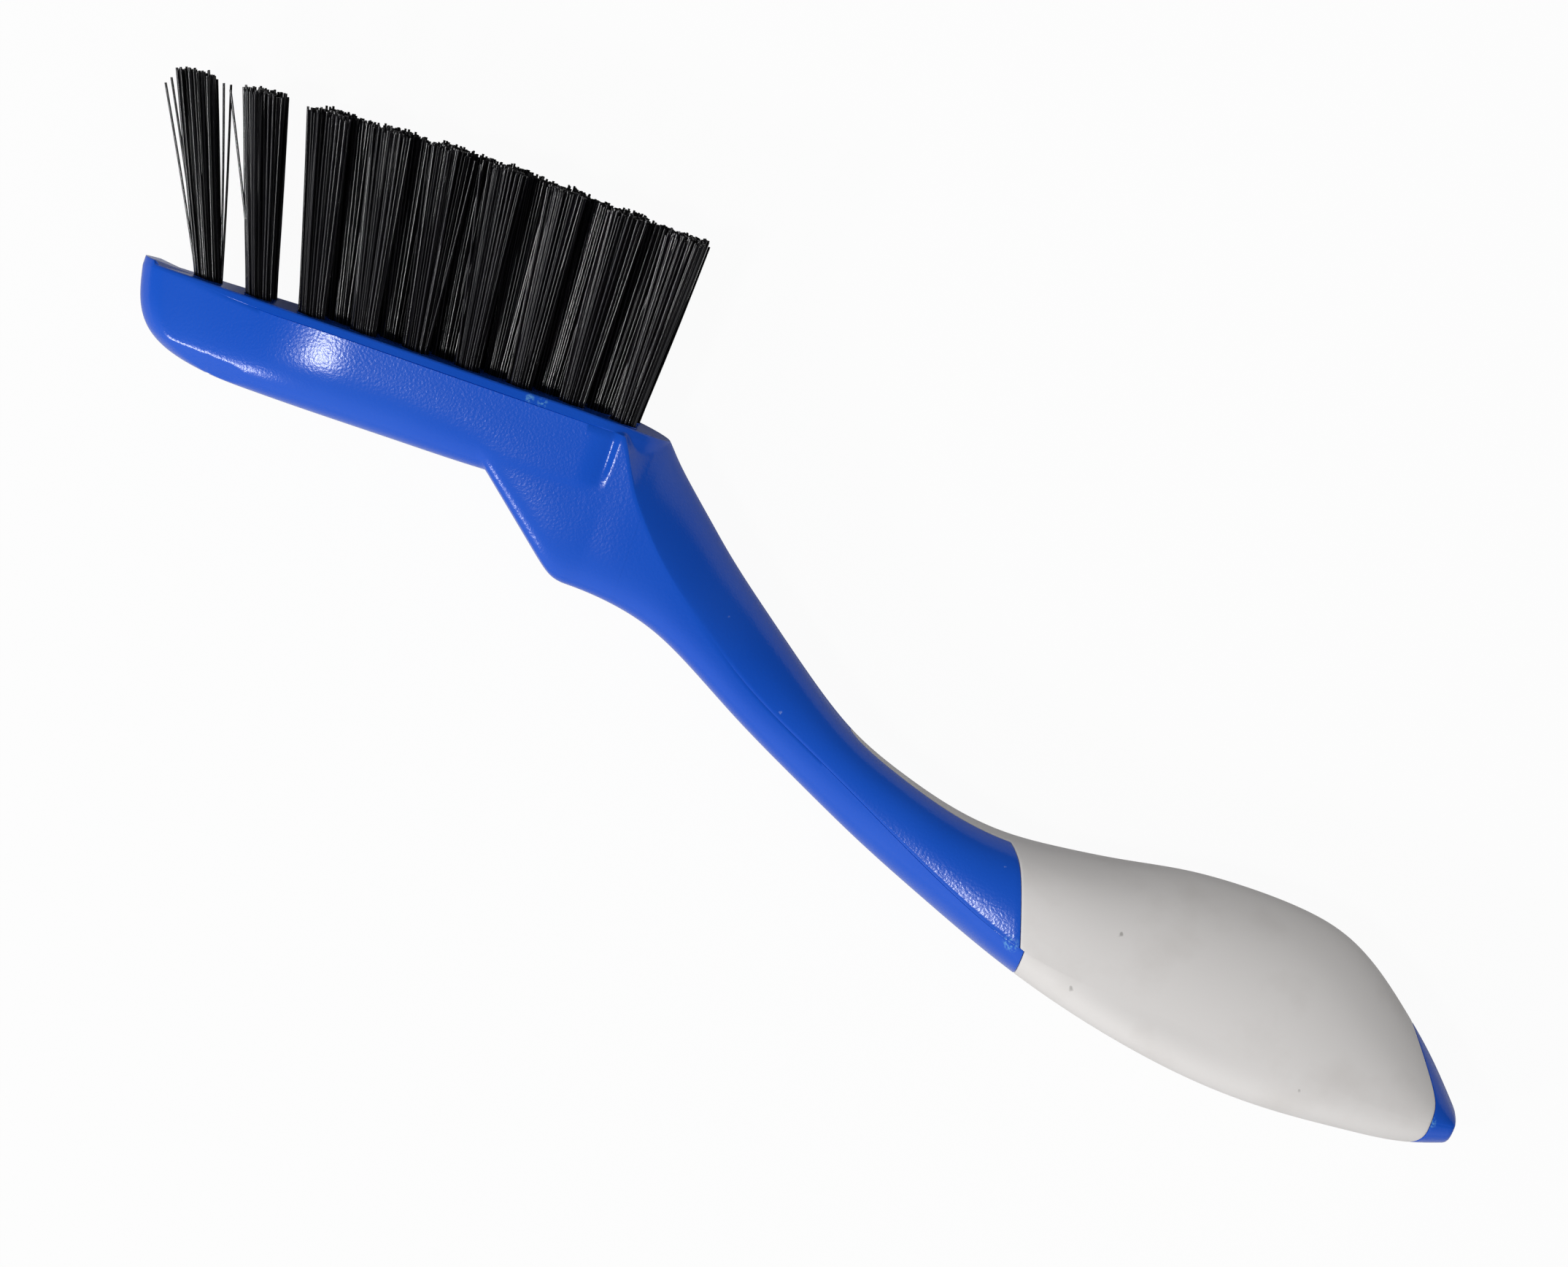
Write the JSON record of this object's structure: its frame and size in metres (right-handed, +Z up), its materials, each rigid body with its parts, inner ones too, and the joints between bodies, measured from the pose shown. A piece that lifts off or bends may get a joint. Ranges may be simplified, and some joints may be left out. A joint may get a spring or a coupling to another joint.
{
  "type": "detailing brush",
  "caption": "Narrow hand brush with a tapered head of stiff upright bristles, a dropped neck and a soft-sleeved palm grip, for scrubbing tight corners.",
  "frame": {"origin": "under the middle of the brush's bounding box, at the height of the surface it lies on", "axes": "+X along the bristle face from the nose to the tail, +Y the way the bristles point, +Z up, square to the brush's mirror plane"},
  "size_m": [0.2348, 0.0954, 0.0252],
  "materials": {
    "blue_plastic": "semi-gloss polypropylene",
    "soft_grey": "matte soft-touch thermoplastic rubber",
    "black_nylon": "satin nylon filament",
    "steel": "plain flat wire"
  },
  "bodies": {
    "root": {"body": "blue_plastic", "grip": "soft_grey", "tuft_nose": "black_nylon", "tuft_pair_left": "black_nylon", "tuft_pair_right": "black_nylon", "tuft_left_1": "black_nylon", "tuft_left_2": "black_nylon", "tuft_left_3": "black_nylon", "tuft_left_4": "black_nylon", "tuft_left_5": "black_nylon", "tuft_left_6": "black_nylon", "tuft_left_7": "black_nylon", "tuft_middle_1": "black_nylon", "tuft_middle_2": "black_nylon", "tuft_middle_3": "black_nylon", "tuft_middle_4": "black_nylon", "tuft_middle_5": "black_nylon", "tuft_middle_6": "black_nylon", "tuft_right_1": "black_nylon", "tuft_right_2": "black_nylon", "tuft_right_3": "black_nylon", "tuft_right_4": "black_nylon", "tuft_right_5": "black_nylon", "tuft_right_6": "black_nylon", "tuft_right_7": "black_nylon", "anchor_nose": "steel", "anchor_pair_left": "steel", "anchor_pair_right": "steel", "anchor_left_1": "steel", "anchor_left_2": "steel", "anchor_left_3": "steel", "anchor_left_4": "steel", "anchor_left_5": "steel", "anchor_left_6": "steel", "anchor_left_7": "steel", "anchor_middle_1": "steel", "anchor_middle_2": "steel", "anchor_middle_3": "steel", "anchor_middle_4": "steel", "anchor_middle_5": "steel", "anchor_middle_6": "steel", "anchor_right_1": "steel", "anchor_right_2": "steel", "anchor_right_3": "steel", "anchor_right_4": "steel", "anchor_right_5": "steel", "anchor_right_6": "steel", "anchor_right_7": "steel"}
  },
  "joints": []
}
